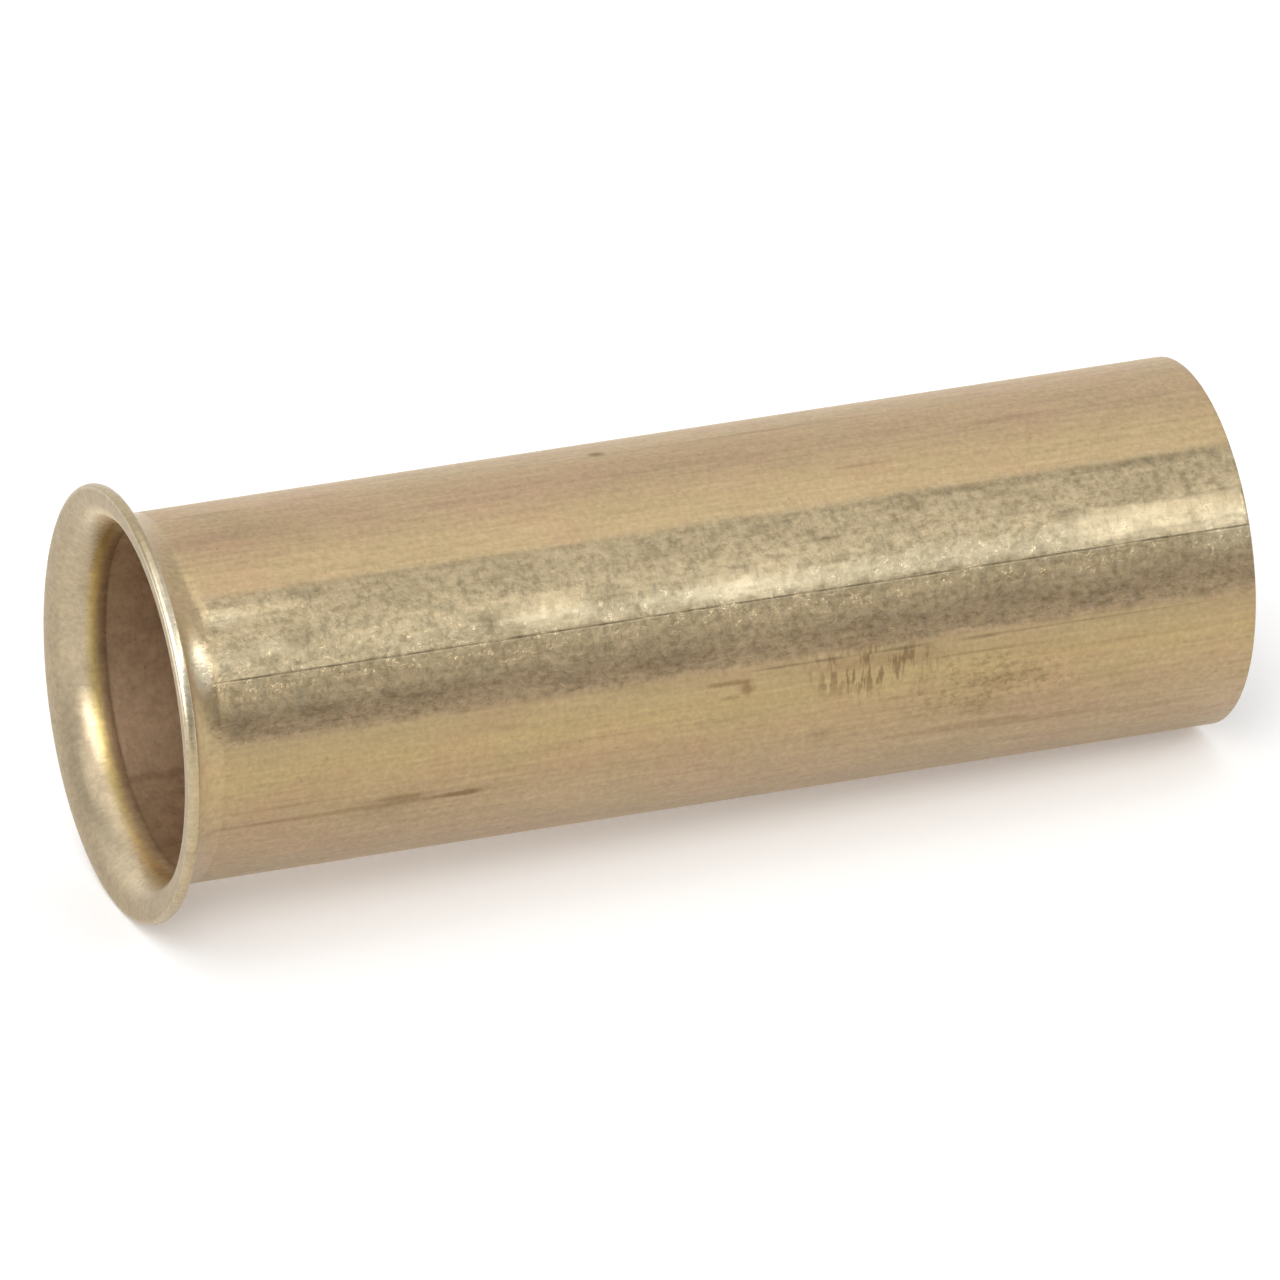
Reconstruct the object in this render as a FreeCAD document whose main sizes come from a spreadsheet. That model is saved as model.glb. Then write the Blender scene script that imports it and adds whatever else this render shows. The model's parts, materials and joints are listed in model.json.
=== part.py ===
"""Guitar slide: one length of thin-walled brass tube, flared open at one end.

The tube lies along X, with its flared mouth at the -X end and its plain cut end at the +X end.
The origin is on the tube's axis, halfway between the two ends, and +Z is up.
The tube is rolled from strip and closed by one brazed seam, which leaves a shallow groove along
its outside, from just behind the flare to the cut end.
"""
import FreeCAD, Part
import math
import os

import Sketcher

VECTOR = FreeCAD.Vector

# Driving dimensions: (alias, value, what it is). Lengths in millimetres, angles in degrees.
DIMENSIONS = [
    ("overall_length", 77.6, "from the face of the flare to the cut end"),
    ("tube_diameter", 25.4, "outside of the tube: 1 inch stock"),
    ("wall", 0.8, "thickness of the metal, tube and flare alike"),
    ("flare_length", 3.4, "from the face of the flare to where the bore is straight"),
    ("entry_radius", 4.2, "easy bend that leads from the bore into the flare"),
    ("flare_radius", 2.2, "tighter bend that leads on from there to the face"),
    ("rim_land", 0.4, "flat part of the flare's face, before the rim's round"),
    ("rim_round", 0.2, "rounding of both edges of the rim"),
    ("edge_break", 0.12, "deburring of both edges of the cut end"),
    ("seam_angle", 152.0, "where the seam is, round the axis from +Y towards +Z"),
    ("seam_width", 0.25, "width of the seam's groove"),
    ("seam_depth", 0.12, "depth of the seam's groove"),
    ("seam_setback", 0.8, "from the end of the flare to the start of the groove"),
]

START, END, CENTRE = 1, 2, 3     # a sketch's names for the points of an edge
ORIGIN, V_AXIS = (-1, 1), -2     # the sketch's own origin point, and its vertical axis


def make_sheet(doc):
    """The driving dimensions, one to a row, each with its alias."""
    sheet = doc.addObject("Spreadsheet::Sheet", "Sizes")
    for row, (alias, value, meaning) in enumerate(DIMENSIONS, start=1):
        sheet.set("A%d" % row, alias)
        sheet.set("B%d" % row, str(value))
        sheet.set("C%d" % row, meaning)
        sheet.setAlias("B%d" % row, alias)
    doc.recompute()
    return sheet


def origin_plane(body, role):
    return next(feature for feature in body.Origin.OriginFeatures if feature.Role == role)


def new_sketch(body, name, role):
    """A sketch of this body on one of the body's own origin planes."""
    sketch = body.newObject("Sketcher::SketchObject", name)
    sketch.AttachmentSupport = [(origin_plane(body, role), "")]
    sketch.MapMode = "FlatFace"
    return sketch


def bind(sketch, kind, name, expression, points, start_value):
    """A named dimension of the sketch, worked out from the sheet by the expression."""
    index = sketch.addConstraint(Sketcher.Constraint(kind, *points, start_value))
    sketch.renameConstraint(index, name)
    sketch.setExpression("Constraints.%s" % name, expression)


def half_section(body, size):
    """Half of the tube's section through its axis, along the sketch's X, with radius along its Y.

    Round the outline: outside of the tube, broken edge, cut end, broken edge, bore, the flare's easy
    bend and its tighter one, land, the rim between its two rounds, back of the flare, and the same
    two bends behind it, which lead back to the tube's outside. The sketch's X starts at the face of
    the flare.
    """
    sketch = new_sketch(body, "HalfSection", "XZ_Plane")

    length, wall, brk = size["overall_length"], size["wall"], size["edge_break"]
    easy, tight = size["entry_radius"], size["flare_radius"]
    outside = size["tube_diameter"] / 2
    bore = outside - wall
    easy_centre = VECTOR(size["flare_length"], bore + easy)
    # The two bends share a tangent where the line through their centres meets them.
    share = math.asin((size["flare_length"] - tight) / (easy - tight))
    tight_centre = VECTOR(tight, easy_centre.y - (easy - tight) * math.cos(share))
    meeting = 1.5 * math.pi - share
    land_end, rnd = tight_centre.y + size["rim_land"], size["rim_round"]

    def line(x1, y1, x2, y2):
        return sketch.addGeometry(Part.LineSegment(VECTOR(x1, y1), VECTOR(x2, y2)), False)

    def arc(centre, radius, first, last):
        circle = Part.Circle(centre, VECTOR(0, 0, 1), radius)
        return sketch.addGeometry(Part.ArcOfCircle(circle, first, last), False)

    tube = line(easy_centre.x, outside, length - brk, outside)
    outer_break = line(length - brk, outside, length, outside - brk)
    cut_end = line(length, outside - brk, length, bore + brk)
    inner_break = line(length, bore + brk, length - brk, bore)
    bore_line = line(length - brk, bore, easy_centre.x, bore)
    entry = arc(easy_centre, easy, meeting, 1.5 * math.pi)
    flare = arc(tight_centre, tight, math.pi, meeting)
    land = line(0, tight_centre.y, 0, land_end)
    face_round = arc(VECTOR(rnd, land_end), rnd, math.pi / 2, math.pi)
    rim = line(rnd, land_end + rnd, wall - rnd, land_end + rnd)
    back_round = arc(VECTOR(wall - rnd, land_end), rnd, 0, math.pi / 2)
    back = line(wall, land_end, wall, tight_centre.y)
    neck = arc(tight_centre, tight - wall, math.pi, meeting)
    shoulder = arc(easy_centre, easy - wall, meeting, 1.5 * math.pi)

    joints = [
        ("Coincident", tube, END, outer_break, START),
        ("Coincident", outer_break, END, cut_end, START),
        ("Coincident", cut_end, END, inner_break, START),
        ("Coincident", inner_break, END, bore_line, START),
        ("Tangent", bore_line, END, entry, END),
        ("Tangent", entry, START, flare, END),
        ("Tangent", flare, START, land, START),
        ("Tangent", land, END, face_round, END),
        ("Tangent", face_round, START, rim, START),
        ("Tangent", rim, END, back_round, END),
        ("Tangent", back_round, START, back, START),
        ("Tangent", back, END, neck, START),
        ("Tangent", neck, END, shoulder, START),
        ("Tangent", shoulder, END, tube, START),
        ("Coincident", flare, CENTRE, neck, CENTRE),
        ("Coincident", entry, CENTRE, shoulder, CENTRE),
        ("Equal", face_round, back_round),
        ("Horizontal", rim),
        ("Horizontal", tube),
        ("Horizontal", bore_line),
        ("Vertical", cut_end),
        ("Vertical", land),
        ("Vertical", back),
        ("PointOnObject", land, START, V_AXIS),
    ]
    for joint in joints:
        sketch.addConstraint(Sketcher.Constraint(*joint))

    bind(sketch, "DistanceX", "length", "Sizes.overall_length",
         (*ORIGIN, cut_end, START), length)
    bind(sketch, "DistanceY", "outside", "Sizes.tube_diameter / 2",
         (*ORIGIN, tube, START), outside)
    bind(sketch, "DistanceY", "bore", "Sizes.tube_diameter / 2 - Sizes.wall",
         (*ORIGIN, bore_line, START), bore)
    bind(sketch, "DistanceX", "flare_length", "Sizes.flare_length",
         (*ORIGIN, bore_line, END), size["flare_length"])
    bind(sketch, "Radius", "easy_bend", "Sizes.entry_radius", (entry,), easy)
    bind(sketch, "Radius", "tight_bend", "Sizes.flare_radius", (flare,), tight)
    bind(sketch, "DistanceY", "land_width", "Sizes.rim_land",
         (land, START, land, END), size["rim_land"])
    bind(sketch, "Radius", "rim_round", "Sizes.rim_round", (face_round,), rnd)
    bind(sketch, "DistanceX", "outer_break_x", "Sizes.edge_break", (tube, END, cut_end, START), brk)
    bind(sketch, "DistanceY", "outer_break_y", "Sizes.edge_break", (cut_end, START, tube, END), brk)
    bind(sketch, "DistanceX", "inner_break_x", "Sizes.edge_break",
         (bore_line, START, cut_end, END), brk)
    bind(sketch, "DistanceY", "inner_break_y", "Sizes.edge_break",
         (bore_line, START, cut_end, END), brk)
    return sketch


def seam_section(body, size):
    """The groove's section at the cut end: a narrow rectangle across the tube's outside.

    The sketch is turned round the axis so that its own X points at the seam.
    """
    sketch = new_sketch(body, "SeamSection", "YZ_Plane")
    sketch.setExpression(".AttachmentOffset.Base.z", "Sizes.overall_length")
    sketch.setExpression(".AttachmentOffset.Rotation.Angle", "Sizes.seam_angle * 1deg")

    outside, width, depth = size["tube_diameter"] / 2, size["seam_width"], size["seam_depth"]
    corners = [
        VECTOR(outside - depth, -width / 2),
        VECTOR(outside + depth, -width / 2),
        VECTOR(outside + depth, width / 2),
        VECTOR(outside - depth, width / 2),
    ]
    bottom, far, top, floor = [
        sketch.addGeometry(Part.LineSegment(corner, corners[(index + 1) % 4]), False)
        for index, corner in enumerate(corners)
    ]
    for edge, following in [(bottom, far), (far, top), (top, floor), (floor, bottom)]:
        sketch.addConstraint(Sketcher.Constraint("Coincident", edge, END, following, START))
    for edge in (bottom, top):
        sketch.addConstraint(Sketcher.Constraint("Horizontal", edge))
    sketch.addConstraint(Sketcher.Constraint("Vertical", far))
    # The rectangle is the same either side of the sketch's X.
    sketch.addConstraint(Sketcher.Constraint("Symmetric", floor, START, floor, END, -1))

    bind(sketch, "DistanceX", "floor_radius", "Sizes.tube_diameter / 2 - Sizes.seam_depth",
         (*ORIGIN, floor, END), outside - depth)
    bind(sketch, "DistanceX", "reach", "2 * Sizes.seam_depth", (bottom, START, bottom, END), 2 * depth)
    bind(sketch, "DistanceY", "width", "Sizes.seam_width", (floor, END, floor, START), width)
    return sketch


def slide_tube(doc, size):
    """The tube: its half section turned once round the axis, then the seam's groove."""
    body = doc.addObject("PartDesign::Body", "SlideTube")
    body.Label = "slide_tube"

    section = half_section(body, size)
    turned = body.newObject("PartDesign::Revolution", "Turned")
    turned.Profile = section
    turned.ReferenceAxis = (section, ["H_Axis"])
    turned.Angle = 360
    doc.recompute()
    solid_volume = turned.Shape.Volume

    groove = body.newObject("PartDesign::Pocket", "Seam")
    groove.Profile = seam_section(body, size)
    groove.Type = "Length"
    groove.setExpression(
        "Length", "Sizes.overall_length - Sizes.flare_length - Sizes.seam_setback")
    doc.recompute()
    cut = solid_volume - groove.Shape.Volume
    run = size["overall_length"] - size["flare_length"] - size["seam_setback"]
    expected = run * size["seam_width"] * size["seam_depth"]
    print("seam groove: %.3f mm3 cut, about %.3f expected" % (cut, expected))
    if not 0.8 * expected < cut < 1.2 * expected:
        raise RuntimeError("the seam's groove is missing or misplaced")

    # The body's own origin is at the flare's face; the part's is halfway along.
    body.setExpression(".Placement.Base.x", "-Sizes.overall_length / 2")
    return body


def check(doc, bodies):
    """Stop on any object that failed, and on any piece without one sound solid."""
    doc.recompute()
    for item in doc.Objects:
        if {"Invalid", "Error"} & set(item.State):
            raise RuntimeError("%s failed: %s" % (item.Name, item.State))
    for sketch in doc.findObjects("Sketcher::SketchObject"):
        if sketch.solve() != 0 or not sketch.FullyConstrained:
            raise RuntimeError("%s isn't fully constrained" % sketch.Name)
    for body in bodies:
        shape = body.Shape
        if shape.isNull() or not shape.isValid() or len(shape.Solids) != 1:
            raise RuntimeError("%s isn't one sound solid" % body.Label)
        box = shape.optimalBoundingBox(False, False)
        print("%s: %.2f x %.2f x %.2f mm, %.1f mm3, x from %.2f to %.2f" % (
            body.Label, box.XLength, box.YLength, box.ZLength, shape.Volume, box.XMin, box.XMax))


def main():
    doc = FreeCAD.newDocument("GuitarSlide")
    make_sheet(doc)
    size = {alias: value for alias, value, meaning in DIMENSIONS}
    bodies = [slide_tube(doc, size)]
    check(doc, bodies)
    os.makedirs("parts", exist_ok=True)
    for body in bodies:
        body.Shape.exportStep("parts/%s.step" % body.Label)


main()
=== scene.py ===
# %% [markdown]
# # A seamed brass guitar slide
#
# A guitar slide is a short barrel that a player wears on one finger and glides along the strings.
# This one is as plain as a slide can be: a length of thin brass tube, rolled from strip, closed by
# one brazed seam, spread open at one end so that it is kind to the finger, and cut off at the other.
#
# The lesson builds that one piece as a surface worked out with numpy, gives it a finish with
# shader nodes, and lights it softly. All places are in the part's own frame: X runs along the
# tube, from the flared mouth to the cut end, the origin is halfway along, and Z is up.

# %% Load the frame
import json
import math

import bpy
import numpy as np
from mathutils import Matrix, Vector


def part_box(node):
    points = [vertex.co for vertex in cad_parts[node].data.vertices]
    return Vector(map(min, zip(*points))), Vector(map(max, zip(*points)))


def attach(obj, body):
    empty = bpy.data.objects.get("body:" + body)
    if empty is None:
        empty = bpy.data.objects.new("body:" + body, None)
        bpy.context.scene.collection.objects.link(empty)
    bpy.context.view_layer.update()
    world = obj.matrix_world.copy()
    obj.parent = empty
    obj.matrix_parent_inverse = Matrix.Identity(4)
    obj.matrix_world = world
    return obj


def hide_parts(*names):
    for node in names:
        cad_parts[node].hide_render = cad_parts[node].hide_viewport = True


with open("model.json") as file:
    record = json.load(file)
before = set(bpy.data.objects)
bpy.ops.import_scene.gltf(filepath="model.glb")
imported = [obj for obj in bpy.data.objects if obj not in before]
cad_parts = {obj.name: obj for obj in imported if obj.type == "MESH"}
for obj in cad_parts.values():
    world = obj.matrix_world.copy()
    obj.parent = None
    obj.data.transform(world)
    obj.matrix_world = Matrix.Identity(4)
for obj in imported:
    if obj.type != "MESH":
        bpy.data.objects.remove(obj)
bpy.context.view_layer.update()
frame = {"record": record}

# %% [markdown]
# ## Sizes
#
# A maker would measure the tube with a caliper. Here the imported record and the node's box already
# hold the main measurements, so those are read from them or worked out from them. The bends, the
# small rounds and the seam's angle are typed in. The work is done in millimetres, which suit a
# small object, and turned into metres at the very end.

# %% Sizes of the tube, in millimetres
MM = 0.001
record_mounts = {mount["name"]: mount for mount in frame["record"]["mounts"]}
low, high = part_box("slide_tube")

OUTSIDE = record_mounts["outside"]["dims"]["r_mm"]      # radius of the tube's outside
BORE = record_mounts["bore"]["dims"]["r_mm"]            # radius of the bore
WALL = OUTSIDE - BORE                                   # thickness of the metal
FACE, CUT = low.x / MM, high.x / MM                     # where the flare's face and the cut end are
RIM = high.z / MM                                       # radius of the flared mouth's rim
EDGE_BREAK = 0.12                                       # round worn on both edges of the cut end
NECK = CUT - EDGE_BREAK - record_mounts["bore"]["dims"]["length_mm"]   # where the bore is straight
TIGHT_BEND, EASY_BEND = 2.2, 4.2                        # the flare's bends: at its face, at the bore
RIM_ROUND = 0.2                                         # round worn on both edges of the rim
CROWN_SLOPE = 24.0                                      # degrees the rim's crown falls to each edge
SEAM_ELEVATION = 28.0                                   # degrees up from -Y, round the axis
print("outside %.2f, wall %.2f, flare %.2f long, rim %.2f mm" % (OUTSIDE, WALL, NECK - FACE, RIM))

# %% [markdown]
# ## The section of the metal
#
# Cut the tube in half lengthwise and one side shows as a thin strip that curls over at the flare.
# Turning its outline round the axis makes the whole tube, so the outline comes first. It is a
# closed loop: outside, cut end, bore, flare, rim, and back down the neck. Straight runs are evenly
# spaced points, and every round is a true arc. Handling has worn the rim's edge to a low crown, so
# the arc there has a long radius and runs into the two small rounds beside it without a corner.

# %% Outline helpers


def straight(start, end, count):
    """Points spaced evenly from start towards end, with the end itself left to the next run."""
    share = np.arange(count)[:, None] / count
    return (1 - share) * np.array(start, float) + share * np.array(end, float)


def bend(centre, radius, first, last, count):
    """Points on an arc: the centre plus the radius turned from the first angle towards the last."""
    angle = np.radians(first + (last - first) * np.arange(count) / count)
    return np.array(centre, float) + radius * np.stack([np.cos(angle), np.sin(angle)], 1)


# %% The outline, as (distance along, distance from the axis)
turned = math.degrees(math.asin((NECK - FACE - TIGHT_BEND) / (EASY_BEND - TIGHT_BEND)))
easy_centre = np.array([NECK, BORE + EASY_BEND])
tight_centre = np.array([FACE + TIGHT_BEND, easy_centre[1] - (EASY_BEND - TIGHT_BEND)
                         * math.cos(math.radians(turned))])
crown = RIM_ROUND + (WALL / 2 - RIM_ROUND) / math.sin(math.radians(CROWN_SLOPE))
land_end = RIM - crown + (crown - RIM_ROUND) * math.cos(math.radians(CROWN_SLOPE))
OUTSIDE_ROWS = 228
CLOSER_ROWS = 0.6           # the bore's rows are closer together over this length beside the flare

runs = {
    "outside": straight((NECK, OUTSIDE), (CUT - EDGE_BREAK, OUTSIDE), OUTSIDE_ROWS),
    "outer edge": bend((CUT - EDGE_BREAK, OUTSIDE - EDGE_BREAK), EDGE_BREAK, 90, 0, 4),
    "cut end": straight((CUT, OUTSIDE - EDGE_BREAK), (CUT, BORE + EDGE_BREAK), 3),
    "inner edge": bend((CUT - EDGE_BREAK, BORE + EDGE_BREAK), EDGE_BREAK, 0, -90, 4),
    "bore": straight((CUT - EDGE_BREAK, BORE), (NECK + CLOSER_ROWS, BORE), 22),
    "bore start": straight((NECK + CLOSER_ROWS, BORE), (NECK, BORE), 6),
    "easy bend": bend(easy_centre, EASY_BEND, -90, -90 - turned, 12),
    "tight bend": bend(tight_centre, TIGHT_BEND, -90 - turned, -180, 14),
    "land": straight((FACE, tight_centre[1]), (FACE, land_end), 2),
    "face round": bend((FACE + RIM_ROUND, land_end), RIM_ROUND, 180, 90 + CROWN_SLOPE, 5),
    "rim": bend((FACE + WALL / 2, RIM - crown), crown, 90 + CROWN_SLOPE, 90 - CROWN_SLOPE, 6),
    "back round": bend((FACE + WALL - RIM_ROUND, land_end), RIM_ROUND, 90 - CROWN_SLOPE, 0, 5),
    "back": straight((FACE + WALL, land_end), (FACE + WALL, tight_centre[1]), 2),
    "neck": bend(tight_centre, TIGHT_BEND - WALL, 180, 270 - turned, 12),
    "shoulder": bend(easy_centre, EASY_BEND - WALL, 270 - turned, 270, 10),
}
outline = np.concatenate(list(runs.values()))
run_of_row = np.concatenate([[name] * len(run) for name, run in runs.items()])
print("outline:", len(outline), "points in", len(runs), "runs")

# %% [markdown]
# ## Round the tube
#
# The second direction runs round the axis. The seam's groove is only a hair wide, and most of the
# tube is plain, so the columns are not evenly spaced: they crowd together at the seam, are fairly
# close over the dressed band beside it, and are wide apart elsewhere. Adding up a density and
# reading it back at equal steps places them.

# %% Columns, as degrees round from the seam
COLUMNS = 292
BAND_LOW, BAND_HIGH = -20.2, 28.0     # the dressed band, in degrees from the seam
BAND_MARGIN = 4.0                     # columns stay close this many degrees past the band
angle_fine = np.linspace(-180.0, 180.0, 20001)
in_band = (angle_fine > BAND_LOW - BAND_MARGIN) & (angle_fine < BAND_HIGH + BAND_MARGIN)
density = 1.0 + 3.5 * in_band + 34.0 * np.exp(-(angle_fine / 0.9) ** 2)
total = np.concatenate([[0.0], np.cumsum((density[1:] + density[:-1]) / 2)])
columns = np.interp(np.arange(COLUMNS) / COLUMNS, total / total[-1], angle_fine)
print("columns: closest %.3f, widest %.2f degrees" % (np.diff(columns).min(), np.diff(columns).max()))

# %% [markdown]
# ## What the tools left
#
# The strip's two edges never roll quite as round as the rest, so they meet in a very low roof
# with the brazed line at its ridge. The maker then dresses the bead off, which leaves a band of
# shallow flats and dents. These are real shape, from a hundredth of a millimetre to nearly a
# fifth, so they go into the surface as a height along its own normal.

# %% Heights on the outside of the tube


def smooth(low_end, high_end, value):
    """0 below the low end, 1 above the high end, and an S-shaped ramp between them."""
    share = np.clip((value - low_end) / (high_end - low_end), 0, 1)
    return share * share * (3 - 2 * share)


def seam_strength(along):
    """How open the seam is: from nearly closed to clean, wandering slowly along the tube."""
    wander = 0.5 + 0.5 * np.sin(along * 0.21 + 4.4) + 0.25 * np.sin(along * 0.83 + 1.0)
    return np.clip(0.25 + 0.9 * wander, 0.2, 1.0)


def roof(around):
    """A ridge that falls away exponentially on both sides of the seam."""
    return 0.075 * np.exp(-np.abs(around) / 1.3)


def groove(along, around):
    """A narrow dip, bell-shaped across, at the seam."""
    return -0.06 * seam_strength(along) * np.exp(-(around / 0.07) ** 2)


def near(value, centre, reach):
    """A bell-shaped weight: 1 at the centre, and a third of that at the reach."""
    return np.exp(-((value - centre) / reach) ** 2)


def roll_mark(along, around):
    """A narrow tilted facet beside the band's upper edge near the flare, fading along the tube."""
    rise = np.clip((around - 4.30) / 0.75, 0, 1) * np.exp(-np.clip(around - 5.05, 0, None) / 2.6)
    return 0.17 * rise * smooth(-36.3, -35.5, along) * (1 - smooth(-31.5, -25.0, along))


def facet(along, around):
    """How far the bead was dressed flat: an arch just above the seam, strong in three places."""
    arch = np.clip(1 - ((around - 1.45) / 1.45) ** 2, 0, 1)
    where = smooth(25.0, 29.5, along) + 0.6 * near(along, -11.5, 3.0) + 0.5 * near(along, 3.0, 3.5)
    return arch * where


def dents(along, around, count, size, depth, seed):
    """Bell-shaped dimples, scattered over the dressed band by a seeded generator."""
    draw = np.random.default_rng(seed)
    height = np.zeros(np.broadcast(along, around).shape)
    for _ in range(count):
        centre_along = draw.uniform(NECK + 0.3, CUT - 0.5)
        centre_around = draw.normal(1.0, 2.2)
        length, width = draw.uniform(*size), draw.uniform(*size)
        strength = draw.uniform(-1.0, 0.4) * depth
        height += strength * near(along, centre_along, length) * near(around, centre_around, width)
    return height


def outside_height(along, around):
    """All the marks on the outside added up, and faded out at the neck."""
    in_dressed = smooth(-4.4, -3.6, around) * (1 - smooth(5.6, 6.4, around))
    height = roof(around) + groove(along, around) + roll_mark(along, around)
    height += -0.040 * facet(along, around)
    height += in_dressed * dents(along, around, 150, (0.5, 1.4), 0.012, 7)
    height += in_dressed * dents(along, around, 320, (0.22, 0.5), 0.012, 11)
    return height * smooth(NECK - 0.3, NECK + 0.5, along)


trial = outside_height(np.linspace(NECK, CUT, 200)[:, None], np.linspace(-6, 8, 200)[None, :])
print("marks beside the seam: from %.3f to %.3f mm" % (trial.min(), trial.max()))

# %% [markdown]
# ## The surface
#
# Each point is the outline's point turned to its column, then moved by the marks above. The tool
# that spread the flare left a hair-line step where it stopped, just inside the bore. The flare
# was spread by hand, so its mouth is very slightly warped, and the saw left the cut end a degree
# or so out of square. Both are shifts along the axis that grow towards their end.

# %% Work out the grid
FLARE_WARP = 0.088          # how far the mouth waves in and out, in millimetres
FLARE_LEAN = 0.0064         # how far it leans, in millimetres for each one of height
CUT_LEAN_UP, CUT_LEAN_ACROSS = 0.0147, -0.0173
CUT_LEAN_REACH = 6.0        # how far from the cut end the lean begins
TOOL_LINE_DEPTH = 0.008

rows = len(outline)
ahead, behind = np.roll(outline, -1, 0), np.roll(outline, 1, 0)
tangent = (ahead - behind) / np.linalg.norm(ahead - behind, axis=1, keepdims=True)
normal = np.stack([-tangent[:, 1], tangent[:, 0]], 1)

along = outline[:, 0][:, None] + np.zeros(COLUMNS)
radius = outline[:, 1][:, None] + np.zeros(COLUMNS)
around = np.radians(columns)[None, :] * OUTSIDE
on_outside = (np.arange(rows) < OUTSIDE_ROWS)[:, None]
in_mouth = outline[:, 1] < BORE + 0.1
tool_line = near(outline[:, 0], NECK + 0.16, 0.13) * in_mouth
height = np.where(on_outside, outside_height(along, around), -TOOL_LINE_DEPTH * tool_line[:, None])
along = along + height * normal[:, 0][:, None]
radius = radius + height * normal[:, 1][:, None]

turn = np.radians(180.0 - SEAM_ELEVATION - columns)[None, :]
y, z = radius * np.cos(turn), radius * np.sin(turn)
to_face = 1 - smooth(FACE, NECK, along)
along = along + to_face * (FLARE_LEAN * z + FLARE_WARP * np.sin(2 * turn))
to_cut = np.clip((along - CUT) / CUT_LEAN_REACH + 1, 0, 1)
along = along + to_cut * (CUT_LEAN_UP * z + CUT_LEAN_ACROSS * y)
points = np.stack([along, y, z], -1) * MM
print("grid:", points.shape)

# %% [markdown]
# ## Into a mesh
#
# Neighbouring points make four-sided faces. Both directions close on themselves, so the last row
# meets the first and the last column meets the first, and the shell has no hole and no pole. The
# UV map is the same grid rolled out flat, with one edge at the back of the tube.

# %% Mesh helpers


def closed_grid(name, points, marks):
    """A mesh of quads over a grid that wraps in both directions, with the grid as its UV map.

    A face joins points (row, column), (row + 1, column), (row + 1, column + 1) and
    (row, column + 1). Marks are named values on the same grid, kept as attributes.
    """
    row_count, column_count = points.shape[:2]
    row, column = np.meshgrid(np.arange(row_count), np.arange(column_count), indexing="ij")
    next_row, next_column = (row + 1) % row_count, (column + 1) % column_count
    corners = np.stack([
        row * column_count + column, next_row * column_count + column,
        next_row * column_count + next_column, row * column_count + next_column,
    ], -1).reshape(-1, 4)
    mesh = bpy.data.meshes.new(name)
    mesh.from_pydata(points.reshape(-1, 3), [], corners)
    mesh.polygons.foreach_set("use_smooth", np.ones(len(corners), bool))
    step = np.stack([
        np.stack([row, column], -1), np.stack([row + 1, column], -1),
        np.stack([row + 1, column + 1], -1), np.stack([row, column + 1], -1),
    ], -2) / [row_count, column_count]
    layer = mesh.uv_layers.new(name="OFBake")
    layer.uv.foreach_set("vector", step.astype(np.float32).ravel())
    for label, values in marks.items():
        whole = np.broadcast_to(values, (row_count, column_count)).astype(np.float32)
        mesh.attributes.new(label, "FLOAT", "POINT").data.foreach_set("value", whole.ravel())
    mesh.update()
    return mesh


def signed_volume(points):
    """Adds up a third of position times area vector over the faces: positive if they face out."""
    down, across = np.roll(points, -1, 0), np.roll(points, -1, 1)
    far = np.roll(down, -1, 1)
    area = np.cross(far - points, across - down) / 2
    return (area * (points + down + across + far) / 4).sum() / 3


# %% [markdown]
# ## Zones
#
# Brass wears and darkens zone by zone, and here some zones also carry painted light and shade. The
# bore is brown, and the throat beside it darker still, which is painted shade where the bend turns
# into the bore. Then comes a golden ring, a painted reflection of the dark bore, and the flare's face
# and rim are paler: on the rim that is a painted highlight over worn metal, and the bends carry
# painted light at the top and the bottom. Painting the zones on an image would be one way. Here the
# mesh carries each one as a named value on its points, worked out from the outline's runs, so each
# zone follows the shape.

# %% Zones on the grid


def rows_of(*names):
    """1 on the rows of the named runs and 0 elsewhere, as a column that spreads over the grid."""
    return np.isin(run_of_row, names)[:, None] * 1.0


def fading(name, full, none):
    """1 on the run up to the share called full, 0 from the share called none, smooth between."""
    share = np.zeros(rows)
    share[run_of_row == name] = 1 - smooth(full, none, np.linspace(0, 1, len(runs[name])))
    return share[:, None]


marks = {
    "inside": rows_of("inner edge", "bore", "bore start"),
    "throat": fading("easy bend", 0.12, 0.36),            # painted shade, where the bend leaves the bore
    "golden": fading("easy bend", 0.34, 0.66),            # painted reflection of the dark bore, in the ring outside it
    "burnished": (rows_of("easy bend") - fading("easy bend", 0.10, 0.50)
                  + fading("tight bend", 0.0, 0.5)),      # rubbed smooth by the spreading tool
    "bends": rows_of("easy bend") + fading("tight bend", 0.1, 0.8),
    "face": rows_of("easy bend", "tight bend", "land", "face round"),
    "rim": rows_of("face round", "rim", "back round"),
    "neck": rows_of("back", "neck", "shoulder"),
    # The tool line's colour is painted shadow along the step that the tool left.
    "tool_line": (near(outline[:, 0], NECK + 0.15, 0.26) * in_mouth)[:, None],
    "flat": np.where(on_outside, np.clip(facet(along, around), 0, 1), 0),
}
print("zones:", ", ".join(marks))

# %% Make the mesh
tube = bpy.data.objects.new("slide_tube_shell", closed_grid("slide_tube_shell", points, marks))
print("volume: %.1f cubic millimetres" % (signed_volume(points) / MM ** 3))
bpy.context.scene.collection.objects.link(tube)
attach(tube, "root")
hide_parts("slide_tube")
print("triangles:", 2 * len(tube.data.polygons))

# %% [markdown]
# ## A short way to write nodes
#
# A finish is a small sum over many masks. Written out node by node it would be hard to read, so
# this helper adds a node, links whatever it is given, and hands back the node's first output.

# %% Node helper


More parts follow.
